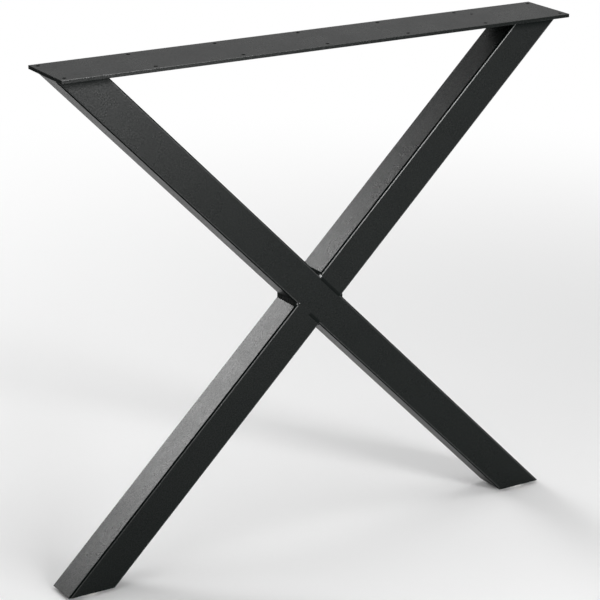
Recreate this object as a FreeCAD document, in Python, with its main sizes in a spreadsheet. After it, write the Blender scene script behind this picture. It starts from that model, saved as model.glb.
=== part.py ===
"""X-shaped steel table leg: two crossed square tubes welded under a drilled top plate, on felt pads.

Millimetres. +X runs along the top plate, +Y away from the front and +Z up. The origin is on the floor,
straight below the crossing of the tubes. One tube runs through from the top left to the bottom right.
The other tube is cut in two halves, which are welded to the sides of the first.
"""
import FreeCAD, Part
import os
import Sketcher
from FreeCAD import Placement, Rotation, Vector

DIMENSIONS = [
    ("overall_height", 720, "floor to the top of the plate"),
    ("plate_length", 784, "top plate, along X"),
    ("plate_width", 95, "top plate, along Y"),
    ("plate_thickness", 5, "top plate"),
    ("plate_edge_round", 0.6, "broken edges of the top plate"),
    ("plate_ledge", 1.6, "plate past the tube's outer corner, at each end"),
    ("screw_hole_diameter", 5.5, "clearance for a 5 mm wood screw"),
    ("screw_holes_per_row", 7, "holes in each of the two rows"),
    ("screw_row_inset", 10, "row of holes from the plate's long edge"),
    ("screw_end_inset", 9, "outermost holes from the plate's end"),
    ("hanging_hole_diameter", 4, "hole that the leg hung by while it was coated"),
    ("hanging_hole_from_end", 120, "hanging hole from the plate's right end"),
    ("hanging_hole_from_back", 28.5, "hanging hole from the plate's back edge"),
    ("tube_side", 50, "square tube, outside"),
    ("tube_wall", 2, "square tube"),
    ("tube_corner_radius", 3, "outer corners of the tube"),
    ("tube_inner_radius", 1, "inner corners of the tube"),
    ("cap_thickness", 3, "plate let into the foot of each tube"),
    ("pad_diameter", 40, "felt pad"),
    ("pad_thickness", 5, "felt pad"),
    ("weld_leg", 5, "bead along each of the two faces that it joins"),
    ("weld_crown", 0.36, "rise of a bead above the straight line between its toes"),
    ("weld_pitch", 5, "length of one ripple of a bead"),
    ("weld_ripple", 0.35, "depth of the valley between two ripples"),
    ("bead_end_inset", 0.5, "how far a notch bead's end stays below the tube's face"),
    ("right_bead_setback", 1.2, "how much thinner the bead in the right notch is"),
    ("bottom_bead_setback", 2.2, "how much thinner the bead in the bottom notch is"),
    ("seam_depth", 2.2, "weld metal in the groove beside a rounded tube corner, from the tube's face"),
    ("seam_width", 5, "seam bead on the face of the tubes"),
    ("seam_crown", 0.8, "rise of a seam bead above the face of the tubes"),
    ("seam_inset", 1.8, "middle of a seam bead from the long tube's side"),
    ("ground_underfill", 0.1, "how far the ground stretch of a seam stays below the tube's face"),
    ("ground_length", 26, "ground stretch of the lower seam, from the left notch"),
]

# Values that follow from the dimensions. The tubes' outer corners are as far from the middle at the
# plate as at the floor, and that fixes their lean. A bead is a slice of a large rippled rod, whose
# axis lies BeadDepth behind the corner that the bead fills.
LAYOUT = [
    ("Rise", "dims.overall_height - dims.plate_thickness - dims.pad_thickness"),
    ("Reach", "dims.plate_length - 2 * dims.plate_ledge"),
    ("Lean", "atan(layout.Rise / layout.Reach)"
             " + asin(dims.tube_side / sqrt(layout.Reach^2 + layout.Rise^2))"),
    ("CutWidth", "dims.tube_side / sin(layout.Lean)"),
    ("FootOffset", "(layout.Reach - layout.CutWidth) / 2"),
    ("CrossingHeight", "dims.pad_thickness + layout.Rise / 2"),
    ("PlateUnderside", "dims.overall_height - dims.plate_thickness"),
    ("StockLength", "layout.Rise / sin(layout.Lean) + dims.tube_side / tan(layout.Lean) + dims.tube_side"),
    ("NotchRise", "dims.tube_side / (2 * cos(layout.Lean))"),
    ("NotchRun", "dims.tube_side / (2 * sin(layout.Lean))"),
    ("SeamLength", "dims.tube_side / sin(2 * layout.Lean)"),
    ("SeamRadius", "(dims.seam_width^2 / 4 + dims.seam_crown^2) / (2 * dims.seam_crown)"),
    ("SeamAcross", "dims.tube_side / 2 - dims.seam_inset"),
    ("SeamOut", "dims.tube_side / 2 + dims.seam_crown - layout.SeamRadius"),
    ("BeadThroat", "dims.weld_leg / sqrt(2) + dims.weld_crown"),
    ("BeadDepth", "(dims.weld_leg^2 - layout.BeadThroat^2) / (2 * dims.weld_crown)"),
    ("BeadRadius", "layout.BeadDepth + layout.BeadThroat"),
    ("NotchBeadLength", "dims.tube_side - 2 * dims.bead_end_inset"),
    ("PlateBeadLength", "layout.CutWidth - 2 * dims.weld_leg"),
]

LEFTWARD = "layout.Lean - 90"
RIGHTWARD = "90 - layout.Lean"
AXIS_Y = Vector(0, 1, 0)
AXIS_Z = Vector(0, 0, 1)
ORIGIN_POINT = (-1, 1)
START, END, CENTRE = range(1, 4)
SKETCH_UNIT = 1.0

doc = FreeCAD.newDocument("x_table_leg")


def make_sheet():
    sheet = doc.addObject("Spreadsheet::Sheet", "dims")
    for row, (alias, value, note) in enumerate(DIMENSIONS, start=1):
        sheet.set(f"A{row}", alias)
        sheet.set(f"B{row}", str(value))
        sheet.set(f"C{row}", note)
        sheet.setAlias(f"B{row}", alias)
    doc.recompute()


def make_layout():
    layout = doc.addObject("App::VarSet", "layout")
    for name, expression in LAYOUT:
        layout.addProperty("App::PropertyFloat", name)
        layout.setExpression(name, expression)
    doc.recompute()


def bind(obj, **expressions):
    """Binds properties to expressions. A double underscore in a name stands for a dot."""
    for name, expression in expressions.items():
        obj.setExpression(name.replace("__", "."), expression)


def new_body(name, turn_axis=AXIS_Z, turn="0", x="0", y="0", z="0"):
    body = doc.addObject("PartDesign::Body", name)
    body.Placement = Placement(Vector(), Rotation(turn_axis, 1))
    bind(body, Placement__Rotation__Angle=turn)
    bind(body, Placement__Base__x=x, Placement__Base__y=y, Placement__Base__z=z)
    return body


def new_sketch(body, name):
    plane = next(feature for feature in body.Origin.OriginFeatures if feature.Role == "XY_Plane")
    sketch = body.newObject("Sketcher::SketchObject", name)
    sketch.AttachmentSupport = [(plane, "")]
    sketch.MapMode = "FlatFace"
    return sketch


def relate(sketch, kind, *where):
    sketch.addConstraint(Sketcher.Constraint(kind, *where))


def measure(sketch, expression, kind, *where):
    """Adds a constraint with a size, bound to an expression."""
    index = sketch.addConstraint(Sketcher.Constraint(kind, *where, SKETCH_UNIT))
    sketch.setExpression(f"Constraints[{index}]", expression)


def draw_loop(sketch, corners):
    """Straight lines from corner to corner, joined at their ends."""
    count = len(corners)
    for i in range(count):
        sketch.addGeometry(Part.LineSegment(corners[i], corners[(i + 1) % count]), False)
    for i in range(count):
        relate(sketch, "Coincident", i, END, (i + 1) % count, START)


def draw_rectangle(sketch, width, height):
    """A rectangle about the origin of the sketch."""
    half = SKETCH_UNIT / 2
    draw_loop(sketch, [Vector(-half, -half), Vector(half, -half), Vector(half, half), Vector(-half, half)])
    for side, direction in enumerate(("Horizontal", "Vertical", "Horizontal", "Vertical")):
        relate(sketch, direction, side)
    relate(sketch, "Symmetric", 0, START, 2, START, *ORIGIN_POINT)
    measure(sketch, width, "DistanceX", 0, START, 0, END)
    measure(sketch, height, "DistanceY", 1, START, 1, END)


def draw_circle(sketch, diameter, x, y):
    """A circle at a distance from the origin. The sign of x and y is the first letter of each."""
    circle = sketch.addGeometry(Part.Circle(Vector(), AXIS_Z, SKETCH_UNIT), False)
    measure(sketch, diameter, "Diameter", circle)
    for kind, place in (("DistanceX", x), ("DistanceY", y)):
        sign, distance = place[0], place[1:]
        ends = (ORIGIN_POINT, (circle, CENTRE)) if sign == "+" else ((circle, CENTRE), ORIGIN_POINT)
        measure(sketch, distance, kind, *ends[0], *ends[1])


def pad(body, sketch, length):
    feature = body.newObject("PartDesign::Pad", f"{sketch.Name}_pad")
    feature.Profile = sketch
    bind(feature, Length=length)
    doc.recompute()
    return feature


def pocket_through(body, sketch):
    """A pocket both ways from its sketch, through everything."""
    feature = body.newObject("PartDesign::Pocket", f"{sketch.Name}_pocket")
    feature.Profile = sketch
    feature.Type = "ThroughAll"
    feature.SideType = "Symmetric"
    doc.recompute()
    return feature


def fillet(body, base, edges, radius):
    feature = body.newObject("PartDesign::Fillet", f"{base.Name}_fillet")
    feature.Base = (base, [f"Edge{index}" for index in edges])
    bind(feature, Radius=radius)
    doc.recompute()
    return feature


def edges_where(shape, test):
    return [index for index, edge in enumerate(shape.Edges, start=1) if test(edge)]


def runs_along_z(edge):
    first, last = edge.Vertexes[0].Point, edge.Vertexes[-1].Point
    return (last - first).cross(AXIS_Z).Length < Part.Precision.confusion()


def tube_bar(name, turn, width, depth, length, start=None, shift="0", corner_radius=None):
    """A bar along a leaning tube axis, centred on the crossing.

    A start along the axis, or a shift across it towards the upper face, sets it off the centre.
    """
    body = new_body(name, AXIS_Y, turn, z="layout.CrossingHeight")
    sketch = new_sketch(body, f"{name}_outline")
    bind(sketch, AttachmentOffset__Base__x=shift, AttachmentOffset__Base__z=start or f"-({length}) / 2")
    draw_rectangle(sketch, width, depth)
    bar = pad(body, sketch, length)
    if corner_radius:
        fillet(body, bar, edges_where(bar.Shape, runs_along_z), corner_radius)
    return body


def seam_rods(name, side, length):
    """The front and the back seam beside the upper (side +) or lower (side -) face of the long tube.

    Each is a round rod from the right end of the crossing, and stands a little above the tubes' faces.
    """
    rods = []
    for place, depth in (("front", "-"), ("back", "+")):
        body = new_body(f"{name}_{place}", AXIS_Y, LEFTWARD, z="layout.CrossingHeight")
        sketch = new_sketch(body, f"{name}_{place}_outline")
        bind(sketch, AttachmentOffset__Base__z="-layout.SeamLength / 2")
        draw_circle(sketch, "2 * layout.SeamRadius", f"{side}layout.SeamAcross", f"{depth}layout.SeamOut")
        pad(body, sketch, length)
        rods.append(body)
    return rods


def slab(name, low, high):
    """Everything between two heights, wider than the whole leg."""
    box = doc.addObject("Part::Box", name)
    bind(box, Length="2 * dims.plate_length", Width="2 * dims.plate_width", Height=f"({high}) - ({low})")
    bind(box, Placement__Base__x="-dims.plate_length", Placement__Base__y="-dims.plate_width")
    bind(box, Placement__Base__z=low)
    return box


def common(name, base, tool):
    both = doc.addObject("Part::Common", name)
    both.Base, both.Tool = base, tool
    return both


def cut(name, base, *tools):
    """Takes the tools from the base, one after another."""
    for count, tool in enumerate(tools, start=1):
        rest = doc.addObject("Part::Cut", name if count == len(tools) else f"{name}_cut_{count}")
        rest.Base, rest.Tool = base, tool
        base = rest
    return base


def fuse(name, *shapes):
    whole = doc.addObject("Part::MultiFuse", name)
    whole.Shapes = list(shapes)
    return whole


def make_top_plate():
    """Flat bar with two rows of screw holes and one hanging hole."""
    body = new_body("top_plate", z="layout.PlateUnderside")
    outline = new_sketch(body, "plate_outline")
    draw_rectangle(outline, "dims.plate_length", "dims.plate_width")
    bar = pad(body, outline, "dims.plate_thickness")
    fillet(body, bar, edges_where(bar.Shape, lambda edge: True), "dims.plate_edge_round")

    end_place = "-dims.plate_length / 2 - dims.screw_end_inset"
    row_place = "dims.plate_width / 2 - dims.screw_row_inset"
    screw_holes = new_sketch(body, "screw_holes")
    draw_circle(screw_holes, "dims.screw_hole_diameter", end_place, f"+{row_place}")
    draw_circle(screw_holes, "dims.screw_hole_diameter", end_place, f"-{row_place}")
    first_pair = pocket_through(body, screw_holes)
    rows = body.newObject("PartDesign::LinearPattern", "screw_hole_rows")
    rows.Originals = [first_pair]
    rows.Direction = (screw_holes, ["H_Axis"])
    bind(rows, Length="dims.plate_length - 2 * dims.screw_end_inset", Occurrences="dims.screw_holes_per_row")
    body.Tip = rows

    hanging_hole = new_sketch(body, "hanging_hole")
    draw_circle(hanging_hole, "dims.hanging_hole_diameter",
                "+dims.plate_length / 2 - dims.hanging_hole_from_end",
                "+dims.plate_width / 2 - dims.hanging_hole_from_back")
    body.Tip = pocket_through(body, hanging_hole)
    return body


def make_foot_pad(name, x):
    body = new_body(name, x=x)
    outline = new_sketch(body, f"{name}_outline")
    circle = outline.addGeometry(Part.Circle(Vector(), AXIS_Z, SKETCH_UNIT), False)
    relate(outline, "Coincident", circle, CENTRE, *ORIGIN_POINT)
    measure(outline, "dims.pad_diameter", "Diameter", circle)
    pad(body, outline, "dims.pad_thickness")
    return body


def bead_rod(name, length, turn, x, y, z):
    """A rippled rod along X, turned about Z. One ripple is revolved and repeated along the rod."""
    body = new_body(name, AXIS_Z, turn, x, y, z)
    sketch = new_sketch(body, f"{name}_ripple")
    ripples = f"round(({length}) / dims.weld_pitch)"
    ripple_length = f"({length}) / {ripples}"

    unit = SKETCH_UNIT
    foot, crest = Vector(0, unit), Vector(unit / 2, 2 * unit)
    draw_loop(sketch, [Vector(0, 0), Vector(unit, 0), Vector(unit, unit), crest, foot])
    relate(sketch, "Coincident", 0, START, *ORIGIN_POINT)
    relate(sketch, "Horizontal", 0)
    relate(sketch, "Vertical", 1)
    relate(sketch, "Vertical", 4)
    relate(sketch, "Equal", 1, 4)
    measure(sketch, ripple_length, "DistanceX", 0, START, 0, END)
    measure(sketch, "layout.BeadRadius - dims.weld_ripple", "DistanceY", 1, START, 1, END)
    measure(sketch, f"{ripple_length} / 2", "DistanceX", *ORIGIN_POINT, 2, END)
    measure(sketch, "layout.BeadRadius", "DistanceY", *ORIGIN_POINT, 2, END)

    ripple = body.newObject("PartDesign::Revolution", f"{name}_revolved")
    ripple.Profile = sketch
    ripple.ReferenceAxis = (sketch, ["H_Axis"])
    doc.recompute()
    row = body.newObject("PartDesign::LinearPattern", f"{name}_row")
    row.Originals = [ripple]
    row.Direction = (sketch, ["H_Axis"])
    bind(row, Length=f"({length}) - {ripple_length}", Occurrences=ripples)
    body.Tip = row
    return body


def notch_rod(name, x, z):
    """The rod of a bead that runs through the depth of the leg in one notch of the crossing."""
    return bead_rod(name, "layout.NotchBeadLength", "90", x, "-layout.NotchBeadLength / 2", z)


def plate_weld(name, x, side):
    """A bead under the plate, along the front (side -1) or the back (side 1) of one tube."""
    shift = "layout.BeadDepth / sqrt(2)"
    start = f"{x} - layout.PlateBeadLength / 2"
    rod = bead_rod(f"{name}_rod", "layout.PlateBeadLength", "0", start,
                   f"{side} * (dims.tube_side / 2 - {shift})", f"layout.PlateUnderside + {shift}")
    corner = doc.addObject("Part::Box", f"{name}_corner")
    bind(corner, Length="layout.PlateBeadLength", Width="2 * dims.weld_leg", Height="2 * dims.weld_leg")
    bind(corner, Placement__Base__x=start, Placement__Base__z="layout.PlateUnderside - 2 * dims.weld_leg")
    bind(corner, Placement__Base__y=f"{side} * dims.tube_side / 2 + ({side} - 1) * dims.weld_leg")
    return common(name, rod, corner)


def make_frame():
    """The tubes, the plates in their feet and the welds round the crossing."""
    side = "dims.tube_side"
    bore_side = "dims.tube_side - 2 * dims.tube_wall"
    outer_round, inner_round = "dims.tube_corner_radius", "dims.tube_inner_radius"
    stock = "layout.StockLength"
    long_bar = tube_bar("long_bar", LEFTWARD, side, side, stock, corner_radius=outer_round)
    long_bore = tube_bar("long_bore", LEFTWARD, bore_side, bore_side, stock, corner_radius=inner_round)
    cross_bar = tube_bar("cross_bar", RIGHTWARD, side, side, stock, corner_radius=outer_round)
    cross_bore = tube_bar("cross_bore", RIGHTWARD, bore_side, bore_side, stock, corner_radius=inner_round)
    crossing_block = tube_bar("crossing_block", LEFTWARD, side, f"2 * {side}", stock)

    frame_slab = slab("frame_slab", "dims.pad_thickness", "layout.PlateUnderside")
    upper_slab = slab("upper_slab", "layout.CrossingHeight", "layout.PlateUnderside")
    lower_slab = slab("lower_slab", "dims.pad_thickness", "layout.CrossingHeight")
    cap_slab = slab("cap_slab", "dims.pad_thickness", "dims.pad_thickness + dims.cap_thickness")

    long_tube = common("long_tube", cut("long_tube_stock", long_bar, long_bore), frame_slab)
    upper_solid = cut("upper_half_solid", common("upper_half_bar", cross_bar, upper_slab), crossing_block)
    lower_solid = cut("lower_half_solid", common("lower_half_bar", cross_bar, lower_slab), crossing_block)
    upper_half_tube = cut("upper_half_tube", upper_solid, cross_bore)
    lower_half_tube = cut("lower_half_tube", lower_solid, cross_bore)
    left_foot_cap = common("left_foot_cap", cross_bore, cap_slab)
    right_foot_cap = common("right_foot_cap", long_bore, cap_slab)

    # The seams fill the grooves that the long tube's rounded corners leave beside the half tubes' ends.
    # One stretch is ground flush. The root of each groove belongs to the core, which no weld metal reaches.
    core = tube_bar("seam_core", LEFTWARD, side, f"{side} - 2 * dims.seam_depth", stock)
    ground_width = f"{side} - 2 * dims.ground_underfill"
    ground_start = "layout.SeamLength / 2 - dims.ground_length"
    open_length = "layout.SeamLength - dims.ground_length"
    upper_seams = seam_rods("upper_seam", "+", "layout.SeamLength")
    lower_seams = seam_rods("lower_seam", "-", open_length)
    ground_seam = tube_bar("ground_seam", LEFTWARD, f"{side} / 2", ground_width, "dims.ground_length",
                           start=ground_start, shift=f"-{side} / 4")
    up = "layout.NotchRise - layout.BeadDepth"
    out = "layout.NotchRun - layout.BeadDepth"
    top_rod = notch_rod("top_notch_rod", "0", f"layout.CrossingHeight + {up}")
    bottom_rod = notch_rod("bottom_notch_rod", "0",
                           f"layout.CrossingHeight - ({up} - dims.bottom_bead_setback)")
    right_rod = notch_rod("right_notch_rod", f"{out} - dims.right_bead_setback", "layout.CrossingHeight")
    left_rod = notch_rod("left_notch_rod", f"-({out})", "layout.CrossingHeight")

    upper_run = fuse("upper_weld_run", top_rod, right_rod, *upper_seams)
    lower_run = fuse("lower_weld_run", left_rod, bottom_rod, *lower_seams, ground_seam)
    upper_joint_weld = cut("upper_joint_weld", upper_run, long_bar, core, upper_solid)
    lower_joint_weld = cut("lower_joint_weld", lower_run, long_bar, core, lower_solid)
    return [long_tube, upper_half_tube, lower_half_tube, left_foot_cap, right_foot_cap,
            upper_joint_weld, lower_joint_weld]


def make_leg():
    make_sheet()
    make_layout()
    nodes = [make_top_plate()]
    nodes += make_frame()
    for end, x in (("left", "-layout.FootOffset"), ("right", "layout.FootOffset")):
        nodes.append(make_foot_pad(f"{end}_foot_pad", x))
        nodes.append(plate_weld(f"{end}_plate_weld_front", x, -1))
        nodes.append(plate_weld(f"{end}_plate_weld_back", x, 1))
    doc.recompute()
    return nodes


def check(nodes):
    for obj in doc.Objects:
        if {"Invalid", "Error"} & set(obj.State):
            raise RuntimeError(f"{obj.Name} failed: {obj.State}")
    for node in nodes:
        if node.Shape.isNull() or not node.Shape.isValid() or len(node.Shape.Solids) != 1:
            raise RuntimeError(f"{node.Label} isn't one valid solid")


def write(nodes):
    os.makedirs("parts", exist_ok=True)
    for node in nodes:
        node.Shape.exportStep(f"parts/{node.Label}.step")


leg_nodes = make_leg()
check(leg_nodes)
write(leg_nodes)
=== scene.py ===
"""Dresses the x-shaped table leg: satin black powder coat, weld beads and felt pads, in a white studio.

Metres, in the frame of the solids: +X along the top plate, +Y to the back, +Z up, floor at zero.
The weld beads and the pads are laid out in millimetres, from the sizes of the solids.
"""
import math
import random

import bmesh
import bpy
from mathutils import Matrix, Vector, noise


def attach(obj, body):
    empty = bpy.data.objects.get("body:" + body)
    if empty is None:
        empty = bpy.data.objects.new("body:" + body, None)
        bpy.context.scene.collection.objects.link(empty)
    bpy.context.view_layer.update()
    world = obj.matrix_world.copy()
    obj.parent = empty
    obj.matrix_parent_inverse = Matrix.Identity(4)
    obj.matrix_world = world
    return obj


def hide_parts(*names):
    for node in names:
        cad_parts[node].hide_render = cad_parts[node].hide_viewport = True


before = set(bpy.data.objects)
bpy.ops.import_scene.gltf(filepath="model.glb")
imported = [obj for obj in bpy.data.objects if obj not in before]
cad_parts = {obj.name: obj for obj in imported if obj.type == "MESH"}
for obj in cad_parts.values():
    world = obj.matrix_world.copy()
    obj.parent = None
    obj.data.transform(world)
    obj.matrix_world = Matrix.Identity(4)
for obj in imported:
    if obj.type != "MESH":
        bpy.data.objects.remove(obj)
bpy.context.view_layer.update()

MILLIMETRE = 0.001

# Camera of the photograph, solved from the straight edges of the leg.
EYE = Vector((-1.5993, -2.5668, 1.4048))
VIEW_TURN = math.radians(-31.665)
VIEW_TILT = math.radians(70.808)
VIEW_ROLL = math.radians(0.451)
LENS_MM = 139.385
SENSOR_MM = 36

# Powder coat. A span is the two values of a mask's source between which the mask fades.
STEEL_SLOT = "powder_coated_steel"
COAT_COLOUR = (0.0024, 0.0039, 0.0035)
COAT_TINTS = (0.7, 1.35)
COAT_IOR = 1.26
COAT_ROUGHNESS = 0.28
WELD_IOR = 1.15
WELD_ROUGHNESS = 0.45
GLOSS_SPREAD = 0.02
NOISE_SPAN = (0.3, 0.7)
GRAIN_SCALE = 1500
GRAIN_STRENGTH = 0.35
GRAIN_DEPTH = 0.0002
PEEL_SCALE = 420
PEEL_STRENGTH = 0.3
PEEL_DEPTH = 0.0004
CLOUD_SCALE = 24
SPECK_SCALE = 520
SPECK_SHARE = 0.25
SPECK_SPAN = (0.35, 0.65)
WHOLE_SPAN = (0, 1)

# Shine, as the shader's specular level or as a share of it: painted highlights on corners and edges, and
# painted shade on ends, sides, undersides and under the plate. The plain level is the shader's own, and a
# lack, a painted shade, is the share that is missing. The spans of heights are in metres.
PLAIN_SHINE = 0.5
# Painted highlight and painted shade on the tubes' rounded corners.
CORNER_PAINTED_HIGHLIGHT = 1.9
CORNER_PAINTED_SHADE = 0.05
CORNER_START_SPAN = (0.02, 0.06)
CORNER_MIDDLE_SPAN = (0.6, 0.76)
CORNER_END_SPAN = (0.97, 0.997)
# Painted shade on the faces along X, the ends of the tubes and the plate.
END_PAINTED_SHADE = 0.04
TUBE_END_SPAN = (0.8, 0.95)
# Painted shadow on the fronts and backs of the tubes under the plate's overhang.
FRONT_SPAN = (0.7, 0.9)
OVERHANG_PAINTED_SHADOW = 0.1
OVERHANG_SHADOW_SPAN = (0.699, 0.7095)
# Painted shade on the undersides, darkest near the feet. The undersides are also rougher.
UNDERSIDE_PAINTED_SHADE = 0.25
UNDERSIDE_ROUGHNESS = 0.1
UNDERSIDE_SPAN = (-0.65, -0.4)
FOOT_PAINTED_SHADE = 0.72
FOOT_SPAN = (0.01, 0.11)
# Painted highlight along the plate's upper edges.
EDGE_PAINTED_HIGHLIGHT = 8
EDGE_SPAN = (0.02, 0.12)
EDGE_UP_SPAN = (0, 0.3)
PLATE_END_SPAN = (0.1, 0.4)
# Painted shade on the plate's front and back faces.
SIDE_PAINTED_SHADE = 0.7
PLATE_SIDE_SPAN = (0.8, 0.95)

FELT_SLOT = "felt"
FELT_COLOUR = (0.56, 0.55, 0.53)
FELT_TINTS = (0.78, 1.18)
FELT_SCALE = 700
FELT_DISTORTION = 2.5
FELT_STRENGTH = 0.6
FELT_DEPTH = 0.0005

FLOOR_COLOUR = (0.9, 0.9, 0.9)
FLOOR_SIZE = 40
FLOOR_GAP = 0.0001
FADE_START = 0.6
FADE_END = 2.4
WORLD_LEVEL = 0.3

# Sizes of the solids, in millimetres.
TUBE_HALF = 25
CROSSING = Vector((0, 0, 360))
PLATE_UNDERSIDE = 715
FOOT_OFFSET = 355.043
NOTCH_BEAD_LENGTH = 49
PLATE_BEAD_LENGTH = 60.7
PAD_RADIUS = 20
PAD_THICKNESS = 5

# Directions: down the long tube, up the cross tube, along the plate, and so on.
LONG = Vector((1, 0, -1)).normalized()
CROSS = Vector((1, 0, 1)).normalized()
RIGHT = Vector((1, 0, 0))
BACK = Vector((0, 1, 0))
FRONT = -BACK
DOWN = Vector((0, 0, -1))

# Weld beads, in millimetres. A leg is how far a bead reaches along each of its two walls, and an end is
# the length over which it rounds off.
UPPER_LEFT_LEG = 4.8
UPPER_RIGHT_LEG = 3.5
LOWER_LEFT_LEG = 5.2
LOWER_RIGHT_LEG = 2.4
PLATE_LEG = 4.7
WIDE_END = 2.0
MIDDLE_END = 1.5
SHORT_END = 1.0
BEAD_CROWN = 0.25
FLAT_CROWN = -0.4
BEAD_SINK = 1.8
BEAD_STEP = 0.35
BEAD_ARC_STEPS = 16
JOINT_SEED = 3
PLATE_SEED = 7

# Shares of a bead's leg: its toe between ripples, what a ripple adds there, and its buried root.
TOE_VALLEY = 0.9
TOE_SPREAD = 0.13
BEAD_ROOT = 0.7
LEAST_TAPER = 0.12

# Ripples of the beads, in millimetres. The pairs are the least and the greatest share.
RIPPLE_PITCH = 4.6
RIPPLE_RISE = 0.45
RIPPLE_BOW = 1.9
RIPPLE_SHAPE = 0.6
RIPPLE_WIDTHS = (0.85, 1.15)
RIPPLE_RISES = (0.8, 1.2)
RIPPLE_SPREADS = (0.6, 1.2)

# Low seams beside the long tube's rounded corners, in millimetres, with sections from the tube's middle.
SEAM_HALF_WIDTH = 2.2
SEAM_CROWN = 0.8
SEAM_MIDDLE = 23.6
SEAM_TOE = 0.05
SEAM_END_GAP = 2
SEAM_NARROWING = 0.06
SEAM_DIP = 0.12
SEAM_ROOT = [(25.4, 24.4), (24.9, 22.6), (23.5, 22.8), (21.0, 24.4)]
GROUND_LENGTH = 26
GROUND_CROWN = 0.07

# Edges that turn by more than this, in degrees, stay sharp in the shading of the beads and pads.
SHARP_ANGLE = 50

# Blobs where the notch beads end at the front: centre, radius and half height, in millimetres.
BLOB_AXIS = Vector((-0.18, -0.93, 0.315))
BLOBS = [
    (Vector((0.5, -24.7, 394.4)), 3.6, 0.9),
    (Vector((-32.6, -25.0, 360.7)), 1.5, 0.45),
    (Vector((-35.6, -24.4, 360.0)), 1.7, 0.5),
]
BLOB_STEPS = 16
BLOB_POINTS = 24

# Felt pads, in millimetres. They stay a little inside their solids, and their rims are rounded.
FUZZ_ROOM = 0.15
PAD_RIM = 1.2
PAD_RIM_STEPS = 4
PAD_WALL_STEPS = 3
PAD_FLAT_RADII = (0.4, 5, 10, 14, 17)
PAD_POINTS = 180
FUZZ_RADIUS = 19
FUZZ_HEIGHT = 0.12
FUZZ_SCALE = 1.3


def make_camera():
    data = bpy.data.cameras.new("camera")
    data.sensor_width = SENSOR_MM
    data.lens = LENS_MM
    camera = bpy.data.objects.new("camera", data)
    turn = Matrix.Rotation(VIEW_TURN, 4, "Z")
    tilt = Matrix.Rotation(VIEW_TILT, 4, "X")
    roll = Matrix.Rotation(VIEW_ROLL, 4, "Z")
    camera.matrix_world = Matrix.Translation(EYE) @ turn @ tilt @ roll
    bpy.context.scene.collection.objects.link(camera)
    bpy.context.scene.camera = camera


def new_material(name):
    """A material with its node tree and its main shader."""
    material = bpy.data.materials.new(name)
    material.use_nodes = True
    tree = material.node_tree
    return material, tree, tree.nodes["Principled BSDF"]


def add_node(tree, kind, links=(), **values):
    """Adds a node. Links are pairs of a socket to fill and what fills it. Values set its sockets."""
    node = tree.nodes.new(kind)
    for socket, value in values.items():
        node.inputs[socket.replace("_", " ")].default_value = value
    for socket, source in links:
        tree.links.new(source, node.inputs[socket])
    return node


def add_ramp(tree, source, colour, tints):
    """A colour that goes from its darker to its paler tint as the noise rises."""
    node = add_node(tree, "ShaderNodeValToRGB", [("Fac", source)])
    for element, place, tint in zip(node.color_ramp.elements, NOISE_SPAN, tints):
        element.position = place
        element.color = (*(channel * tint for channel in colour), 1)
    return node.outputs["Color"]


def add_range(tree, source, span, low, high):
    """A value that goes from low to high over a span of the source, and stays there."""
    start, end = span
    node = add_node(tree, "ShaderNodeMapRange", [("Value", source)],
                    From_Min=start, From_Max=end, To_Min=low, To_Max=high)
    return node.outputs["Result"]


def add_math(tree, operation, first, second):
    node = add_node(tree, "ShaderNodeMath", [(0, first), (1, second)])
    node.operation = operation
    return node.outputs["Value"]


def times(tree, first, second):
    return add_math(tree, "MULTIPLY", first, second)


def rest_of(tree, share):
    """One minus a share."""
    return add_range(tree, share, WHOLE_SPAN, 1, 0)


def object_place(tree):
    return tree.nodes.new("ShaderNodeTexCoord").outputs["Object"]


def powder_coat(name, ior, roughness):
    """Black powder coat: a fine grain, a slight orange peel, and cloudy gloss."""
    material, tree, shader = new_material(name)
    place = [("Vector", object_place(tree))]
    grain = add_node(tree, "ShaderNodeTexNoise", place, Scale=GRAIN_SCALE, Detail=3, Roughness=0.6)
    peel = add_node(tree, "ShaderNodeTexNoise", place, Scale=PEEL_SCALE, Detail=2, Roughness=0.5)
    cloud = add_node(tree, "ShaderNodeTexNoise", place, Scale=CLOUD_SCALE, Detail=4, Roughness=0.6)

    tint = add_ramp(tree, grain.outputs["Fac"], COAT_COLOUR, COAT_TINTS)
    gloss = add_range(tree, cloud.outputs["Fac"], NOISE_SPAN,
                      roughness - GLOSS_SPREAD, roughness + GLOSS_SPREAD)
    coarse = add_node(tree, "ShaderNodeBump", [("Height", peel.outputs["Fac"])],
                      Strength=PEEL_STRENGTH, Distance=PEEL_DEPTH)
    fine = add_node(tree, "ShaderNodeBump",
                    [("Height", grain.outputs["Fac"]), ("Normal", coarse.outputs["Normal"])],
                    Strength=GRAIN_STRENGTH, Distance=GRAIN_DEPTH)
    shader.inputs["IOR"].default_value = ior
    tree.links.new(tint, shader.inputs["Base Color"])
    tree.links.new(gloss, shader.inputs["Roughness"])
    tree.links.new(fine.outputs["Normal"], shader.inputs["Normal"])
    return material


def speckle(tree):
    """Grains of powder that shine a little more or less than their neighbours."""
    specks = add_node(tree, "ShaderNodeTexNoise", [("Vector", object_place(tree))],
                      Scale=SPECK_SCALE, Detail=1, Roughness=0.5)
    return add_range(tree, specks.outputs["Fac"], SPECK_SPAN, 1 - SPECK_SHARE, 1 + SPECK_SHARE)


def facing_shares(tree):
    """How far the surface faces along X and along Y, squared, and which way along Z."""
    normal = tree.nodes.new("ShaderNodeNewGeometry").outputs["Normal"]
    facing = add_node(tree, "ShaderNodeSeparateXYZ", [("Vector", normal)]).outputs
    along_x = times(tree, facing["X"], facing["X"])
    along_y = times(tree, facing["Y"], facing["Y"])
    return along_x, along_y, facing["Z"]


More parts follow.
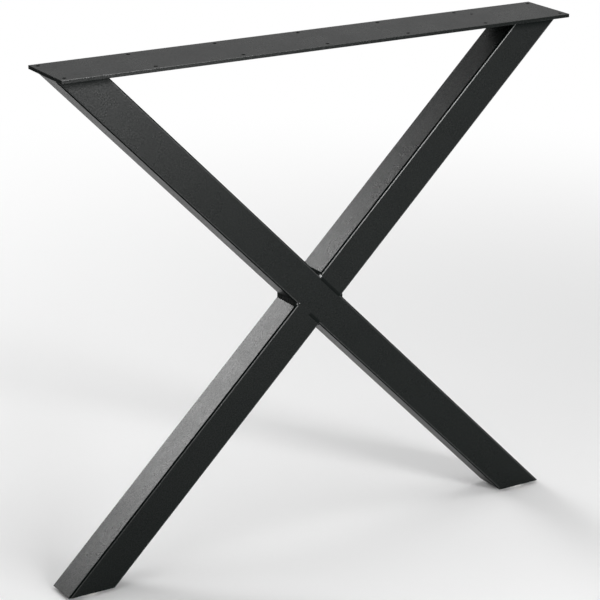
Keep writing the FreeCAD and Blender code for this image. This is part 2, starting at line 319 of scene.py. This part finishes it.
def tube_coat():
    """The coat on the tubes, with painted highlights on its corners and painted shade on its ends, under
    the plate and on its undersides.
    """
    material = powder_coat("black_powder_coat", COAT_IOR, COAT_ROUGHNESS)
    tree = material.node_tree
    shader = tree.nodes["Principled BSDF"]
    along_x, along_y, up = facing_shares(tree)
    height = add_node(tree, "ShaderNodeSeparateXYZ", [("Vector", object_place(tree))]).outputs["Z"]

    # Painted shade and painted highlight round each corner: the shine is taken away next to the side, and
    # raised next to the front or back.
    painted_shade_share = times(tree, add_range(tree, along_y, CORNER_START_SPAN, 0, 1),
                       add_range(tree, along_y, CORNER_MIDDLE_SPAN, 1 - CORNER_PAINTED_SHADE, 0))
    shine = times(tree, add_range(tree, along_y, CORNER_MIDDLE_SPAN, PLAIN_SHINE, CORNER_PAINTED_HIGHLIGHT),
                  add_range(tree, along_y, CORNER_END_SPAN, 1, PLAIN_SHINE / CORNER_PAINTED_HIGHLIGHT))
    shine = times(tree, shine, rest_of(tree, painted_shade_share))
    # Painted shade: the faces along X, the sawn ends, lose their shine.
    shine = times(tree, shine, add_range(tree, along_x, TUBE_END_SPAN, 1, END_PAINTED_SHADE))

    # Painted shadow: the front and back fade to dark right under the plate's overhang.
    overhang = times(tree, add_range(tree, height, OVERHANG_SHADOW_SPAN, 0, 1 - OVERHANG_PAINTED_SHADOW),
                     add_range(tree, along_y, FRONT_SPAN, 0, 1))
    shine = times(tree, shine, rest_of(tree, overhang))

    # The undersides are rougher, and their shine is taken away as painted shade, most near the feet.
    under = add_range(tree, up, UNDERSIDE_SPAN, 1, 0)
    lack = times(tree, under, add_range(tree, height, FOOT_SPAN, FOOT_PAINTED_SHADE, UNDERSIDE_PAINTED_SHADE))
    shine = times(tree, shine, rest_of(tree, lack))
    shine = times(tree, shine, speckle(tree))
    tree.links.new(shine, shader.inputs["Specular IOR Level"])

    gloss = shader.inputs["Roughness"].links[0].from_socket
    rough = add_range(tree, under, WHOLE_SPAN, 0, UNDERSIDE_ROUGHNESS)
    tree.links.new(add_math(tree, "ADD", gloss, rough), shader.inputs["Roughness"])
    return material


def plate_coat():
    """The coat on the plate: a painted highlight over its upper edges, and painted shade on its ends and
    its front and back faces.
    """
    material = powder_coat("black_coat_on_plate", COAT_IOR, COAT_ROUGHNESS)
    tree = material.node_tree
    along_x, along_y, up = facing_shares(tree)
    # Painted highlight along the plate's upper edges.
    rounded = times(tree, along_y, rest_of(tree, along_y))
    upper_edge = times(tree, rounded, add_range(tree, up, EDGE_UP_SPAN, 0, 1))
    shine = add_range(tree, upper_edge, EDGE_SPAN, PLAIN_SHINE, EDGE_PAINTED_HIGHLIGHT)
    # Painted shade on the plate's ends.
    shine = times(tree, shine, add_range(tree, along_x, PLATE_END_SPAN, 1, END_PAINTED_SHADE))
    # Painted shade on the plate's front and back faces.
    shine = times(tree, shine, add_range(tree, along_y, PLATE_SIDE_SPAN, 1, SIDE_PAINTED_SHADE))
    shine = times(tree, shine, speckle(tree))
    tree.links.new(shine, tree.nodes["Principled BSDF"].inputs["Specular IOR Level"])
    return material


def felt():
    """Pressed grey felt: matted fibres, paler and darker, with a soft sheen."""
    material, tree, shader = new_material("pressed_felt")
    fibres = add_node(tree, "ShaderNodeTexNoise", [("Vector", object_place(tree))],
                      Scale=FELT_SCALE, Detail=6, Roughness=0.7, Distortion=FELT_DISTORTION)
    tint = add_ramp(tree, fibres.outputs["Fac"], FELT_COLOUR, FELT_TINTS)
    matted = add_node(tree, "ShaderNodeBump", [("Height", fibres.outputs["Fac"])],
                      Strength=FELT_STRENGTH, Distance=FELT_DEPTH)
    shader.inputs["Roughness"].default_value = 0.95
    shader.inputs["Specular IOR Level"].default_value = 0.2
    shader.inputs["Sheen Weight"].default_value = 0.2
    shader.inputs["Sheen Roughness"].default_value = 0.6
    tree.links.new(tint, shader.inputs["Base Color"])
    tree.links.new(matted.outputs["Normal"], shader.inputs["Normal"])
    return material


def make_floor():
    """A pale floor that fades to white away from the leg, and is clear when looked at from below."""
    bpy.ops.mesh.primitive_plane_add(size=FLOOR_SIZE, location=(0, 0, -FLOOR_GAP))
    floor = bpy.context.object
    floor.name = "floor"
    material, tree, shader = new_material("floor")
    shader.inputs["Base Color"].default_value = (*FLOOR_COLOUR, 1)
    shader.inputs["Roughness"].default_value = 1
    shader.inputs["Specular IOR Level"].default_value = 0

    away = add_node(tree, "ShaderNodeVectorMath", [(0, object_place(tree))])
    away.operation = "LENGTH"
    fade = add_node(tree, "ShaderNodeMapRange", [("Value", away.outputs["Value"])],
                    From_Min=FADE_START, From_Max=FADE_END)
    fade.interpolation_type = "SMOOTHSTEP"
    rays = tree.nodes.new("ShaderNodeLightPath")
    seen = rays.outputs["Is Camera Ray"]
    for ray in ("Is Glossy Ray", "Is Transmission Ray"):
        seen = add_math(tree, "ADD", seen, rays.outputs[ray])
    white_share = times(tree, seen, fade.outputs["Result"])
    white = add_node(tree, "ShaderNodeEmission", Strength=1)
    ground = add_node(tree, "ShaderNodeMixShader",
                      [(0, white_share), (1, shader.outputs["BSDF"]), (2, white.outputs["Emission"])])

    clear = tree.nodes.new("ShaderNodeBsdfTransparent")
    below = tree.nodes.new("ShaderNodeNewGeometry").outputs["Backfacing"]
    both = add_node(tree, "ShaderNodeMixShader",
                    [(0, below), (1, ground.outputs["Shader"]), (2, clear.outputs["BSDF"])])
    tree.links.new(both.outputs["Shader"], tree.nodes["Material Output"].inputs["Surface"])
    floor.data.materials.append(material)


def make_world():
    world = bpy.data.worlds.new("studio")
    world.use_nodes = True
    background = world.node_tree.nodes["Background"]
    background.inputs["Color"].default_value = (1, 1, 1, 1)
    background.inputs["Strength"].default_value = WORLD_LEVEL
    bpy.context.scene.world = world


def softbox(name, place, aim, width, height, radiance, roll=0, spread=180):
    """A soft panel of even brightness, facing the point that it is aimed at. Angles in degrees."""
    lamp = bpy.data.lights.new(name, "AREA")
    lamp.shape = "RECTANGLE"
    lamp.size = width
    lamp.size_y = height
    lamp.energy = radiance * math.pi * width * height
    lamp.spread = math.radians(spread)
    panel = bpy.data.objects.new(name, lamp)
    direction = Vector(aim) - Vector(place)
    facing = direction.to_track_quat("-Z", "Y").to_matrix().to_4x4()
    panel.matrix_world = Matrix.Translation(place) @ facing @ Matrix.Rotation(math.radians(roll), 4, "Z")
    panel.visible_camera = False
    bpy.context.scene.collection.objects.link(panel)


def make_lamps():
    """A broad panel overhead, panels behind for the tubes' sides, and panels in front for their corners."""
    middle = CROSSING * MILLIMETRE
    softbox("overhead_softbox", place=(0, 0, 3.2), aim=(0, 0, 0), width=2.4, height=2.4, radiance=1.6)
    softbox("back_softbox", place=(2.5, 4.0, 1.8), aim=(0, 0, 0.6), width=4.0, height=2.0, radiance=0.2)
    softbox("rear_softbox", place=(-1.4, 3.39, 1.96), aim=middle, width=1.5, height=1.1, radiance=14.4)
    softbox("rear_fill", place=(-1.0, 3.39, 2.85), aim=middle, width=1.2, height=0.8, radiance=0.9)
    softbox("front_softbox", place=(0.6, -2.3, 0.95), aim=middle, width=1.7, height=0.5, radiance=4.6,
            roll=-45, spread=90)
    softbox("low_softbox", place=(0.6, -2.3, 0.24), aim=middle, width=0.4, height=0.4, radiance=4.6,
            spread=90)


def ripple_row(length, rng):
    """Cuts a length into ripples that differ a little: the start, width, rise and spread of each."""
    weights = [rng.uniform(*RIPPLE_WIDTHS) for _ in range(max(1, round(length / RIPPLE_PITCH)))]
    row = []
    start = 0
    for weight in weights:
        width = weight * length / sum(weights)
        row.append((start, width, rng.uniform(*RIPPLE_RISES), rng.uniform(*RIPPLE_SPREADS)))
        start += width
    return row


def swell(row, station):
    """How far the ripple at a station rises above the valleys, and spreads past them."""
    ripple = next((ripple for ripple in row if station < ripple[0] + ripple[1]), row[-1])
    start, width, rise, spread = ripple
    across = min(max(2 * (station - start) / width - 1, -1), 1)
    height = (1 - across ** 2) ** RIPPLE_SHAPE
    return rise * height, spread * height


def end_taper(station, length, end_round):
    """How full a bead is at a station: round at its two ends, and full between them."""
    short = max(1 - min(station, length - station) / end_round, 0)
    return max(math.sqrt(1 - short ** 2), LEAST_TAPER)


def bead_rings(corner, run, wall_a, wall_b, length, leg, rng, end_round, crown=BEAD_CROWN):
    """Rings of a fillet bead along the corner of two walls, centred on it, sunk a little into both."""
    row = ripple_row(length, rng)
    steps = round(length / BEAD_STEP)
    rings = []
    for step in range(steps + 1):
        station = length * step / steps
        middle = corner + run * (station - length / 2)
        taper = end_taper(station, length, end_round)
        ring = []
        for arc_step in range(BEAD_ARC_STEPS + 1):
            angle = math.pi / 2 * arc_step / BEAD_ARC_STEPS
            bulge = math.sin(2 * angle)
            rise, spread = swell(row, station + RIPPLE_BOW * bulge)
            toe = leg * (TOE_VALLEY + TOE_SPREAD * spread)
            reach = toe / (math.cos(angle) + math.sin(angle)) + (crown + RIPPLE_RISE * rise) * bulge
            ring.append((reach * math.cos(angle) * taper, reach * math.sin(angle) * taper))
        root = BEAD_ROOT * leg * taper
        ring += [(-BEAD_SINK, root), (-BEAD_SINK, -BEAD_SINK), (root, -BEAD_SINK)]
        rings.append([middle + wall_a * a + wall_b * b for a, b in ring])
    return rings


def seam_rings(start, run, length, out, face, crown, ripple, rng):
    """Rings of a low bead over the groove beside the long tube's corner. Ripple 0 leaves it flat."""
    row = ripple_row(length, rng)
    steps = round(length / BEAD_STEP)
    rings = []
    for step in range(steps + 1):
        station = length * step / steps
        taper = 1 - ripple + ripple * end_taper(station, length, SEAM_HALF_WIDTH)
        ring = []
        for arc_step in range(BEAD_ARC_STEPS + 1):
            across = 2 * arc_step / BEAD_ARC_STEPS - 1
            bulge = 1 - across ** 2
            rise, spread = swell(row, station + RIPPLE_BOW * bulge)
            half_width = SEAM_HALF_WIDTH * (1 - SEAM_NARROWING * ripple * (1 - spread))
            height = crown * (1 - SEAM_DIP * ripple * (1 - rise)) * bulge * taper - SEAM_TOE
            ring.append((SEAM_MIDDLE + half_width * across, TUBE_HALF + height))
        ring += SEAM_ROOT
        rings.append([start + run * station + out * a + face * b for a, b in ring])
    return rings


def blob_rings(centre, radius, half_height):
    """Rings of a flattened ball, from pole to pole along the blobs' axis."""
    axis = BLOB_AXIS.normalized()
    side = axis.orthogonal().normalized()
    other = axis.cross(side)
    turns = [math.tau * point / BLOB_POINTS for point in range(BLOB_POINTS)]
    rings = []
    for step in range(1, BLOB_STEPS):
        angle = math.pi * step / BLOB_STEPS
        middle = centre + axis * half_height * math.cos(angle)
        reach = radius * math.sin(angle)
        rings.append([middle + (side * math.cos(turn) + other * math.sin(turn)) * reach for turn in turns])
    return rings


def make_piece(name, skins, material, slot, *nodes):
    """A smooth piece made of closed skins in millimetres, each through a row of rings."""
    mesh = bpy.data.meshes.new(name)
    shape = bmesh.new()
    for rings in skins:
        rows = [[shape.verts.new(point * MILLIMETRE) for point in ring] for ring in rings]
        for low, high in zip(rows, rows[1:]):
            for i in range(len(low)):
                shape.faces.new((low[i - 1], low[i], high[i], high[i - 1]))
        shape.faces.new(rows[0])
        shape.faces.new(rows[-1])
    bmesh.ops.recalc_face_normals(shape, faces=shape.faces)
    shape.to_mesh(mesh)
    shape.free()
    mesh.shade_smooth()
    mesh.set_sharp_from_angle(angle=math.radians(SHARP_ANGLE))
    mesh.materials.append(material)
    piece = bpy.data.objects.new(name, mesh)
    bpy.context.scene.collection.objects.link(piece)
    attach(piece, "root")
    if nodes:
        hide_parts(*nodes)
    return piece


def notch(along_long, along_cross):
    """A corner between the tubes, in the middle of their depth."""
    return CROSSING + (LONG * along_long + CROSS * along_cross) * TUBE_HALF


def notch_bead(along_long, along_cross, leg, rng, end_round, crown=BEAD_CROWN):
    """A bead in a corner between the tubes. The two signs say which corner."""
    return bead_rings(notch(along_long, along_cross), BACK, LONG * along_long, CROSS * along_cross,
                      NOTCH_BEAD_LENGTH, leg, rng, end_round, crown)


def make_joint_welds(weld_coat, coat):
    left_end = CROSSING - LONG * TUBE_HALF
    upper_length = 2 * TUBE_HALF - SEAM_END_GAP
    open_start = left_end + LONG * GROUND_LENGTH
    open_length = upper_length - GROUND_LENGTH

    rng = random.Random(JOINT_SEED)
    upper = [
        notch_bead(-1, 1, UPPER_LEFT_LEG, rng, WIDE_END),
        notch_bead(1, 1, UPPER_RIGHT_LEG, rng, SHORT_END, FLAT_CROWN),
    ]
    for face in (FRONT, BACK):
        upper.append(seam_rings(left_end, LONG, upper_length, CROSS, face, SEAM_CROWN, 1, rng))
    make_piece("upper_joint_bead", upper, weld_coat, STEEL_SLOT, "upper_joint_weld")

    lower = [
        notch_bead(-1, -1, LOWER_LEFT_LEG, rng, WIDE_END),
        notch_bead(1, -1, LOWER_RIGHT_LEG, rng, MIDDLE_END, FLAT_CROWN),
    ]
    for face in (FRONT, BACK):
        lower.append(seam_rings(open_start, LONG, open_length, -CROSS, face, SEAM_CROWN, 1, rng))
    make_piece("lower_joint_bead", lower, weld_coat, STEEL_SLOT, "lower_joint_weld")

    # Smooth spots: the ground stretch of the lower seam, and blobs where the notch beads end at the front.
    smooth = [blob_rings(*blob) for blob in BLOBS]
    for face in (FRONT, BACK):
        smooth.append(seam_rings(left_end, LONG, GROUND_LENGTH, -CROSS, face, GROUND_CROWN, 0, rng))
    make_piece("smooth_weld_spots", smooth, coat, STEEL_SLOT)


def make_plate_welds(weld_coat):
    rng = random.Random(PLATE_SEED)
    for end, x in (("left", -FOOT_OFFSET), ("right", FOOT_OFFSET)):
        for side, face in (("front", FRONT), ("back", BACK)):
            corner = Vector((x, 0, PLATE_UNDERSIDE)) + face * TUBE_HALF
            rings = bead_rings(corner, RIGHT, face, DOWN, PLATE_BEAD_LENGTH, PLATE_LEG, rng, WIDE_END)
            node = f"{end}_plate_weld_{side}"
            make_piece(f"{end}_plate_bead_{side}", [rings], weld_coat, STEEL_SLOT, node)


def pad_outline():
    """Radius and height along a pad's outline, from the middle of its foot to the middle of its top."""
    wall = PAD_RADIUS - FUZZ_ROOM
    wall_step = (PAD_THICKNESS - 2 * PAD_RIM) / PAD_WALL_STEPS
    turns = [math.pi / 2 * step / PAD_RIM_STEPS for step in range(PAD_RIM_STEPS + 1)]
    lower = [(radius, 0) for radius in PAD_FLAT_RADII]
    lower += [(wall - PAD_RIM * (1 - math.sin(turn)), PAD_RIM * (1 - math.cos(turn))) for turn in turns]
    middle = [(wall, PAD_RIM + wall_step * step) for step in range(1, PAD_WALL_STEPS)]
    upper = [(radius, PAD_THICKNESS - z) for radius, z in reversed(lower)]
    return lower + middle + upper


def pad_rings(x):
    """Rings of a pressed felt disc along its outline, slightly uneven round its wall."""
    rings = []
    for radius, z in pad_outline():
        ring = []
        for point in range(PAD_POINTS):
            turn = math.tau * point / PAD_POINTS
            spot = Vector((x + radius * math.cos(turn), radius * math.sin(turn), z))
            fuzz = FUZZ_HEIGHT * noise.noise(spot * FUZZ_SCALE) if radius > FUZZ_RADIUS else 0
            reach = radius + fuzz
            ring.append(Vector((x + reach * math.cos(turn), reach * math.sin(turn), z)))
        rings.append(ring)
    return rings


def make_pads(pad_felt):
    for end, x in (("left", -FOOT_OFFSET), ("right", FOOT_OFFSET)):
        pad = make_piece(f"{end}_felt_pad", [pad_rings(x)], pad_felt, FELT_SLOT, f"{end}_foot_pad")


def dress_nodes(coat, top_coat, pad_felt):
    """Gives each solid its material."""
    for name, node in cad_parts.items():
        soft = name.endswith("foot_pad")
        hard_coat = top_coat if name == "top_plate" else coat
        node.data.materials.clear()
        node.data.materials.append(pad_felt if soft else hard_coat)


make_camera()
black_coat = tube_coat()
coat_over_welds = powder_coat("coat_over_welds", WELD_IOR, WELD_ROUGHNESS)
grey_felt = felt()
dress_nodes(black_coat, plate_coat(), grey_felt)
make_joint_welds(coat_over_welds, black_coat)
make_plate_welds(coat_over_welds)
make_pads(grey_felt)
make_floor()
make_world()
make_lamps()
bpy.context.scene.view_settings.view_transform = "Standard"
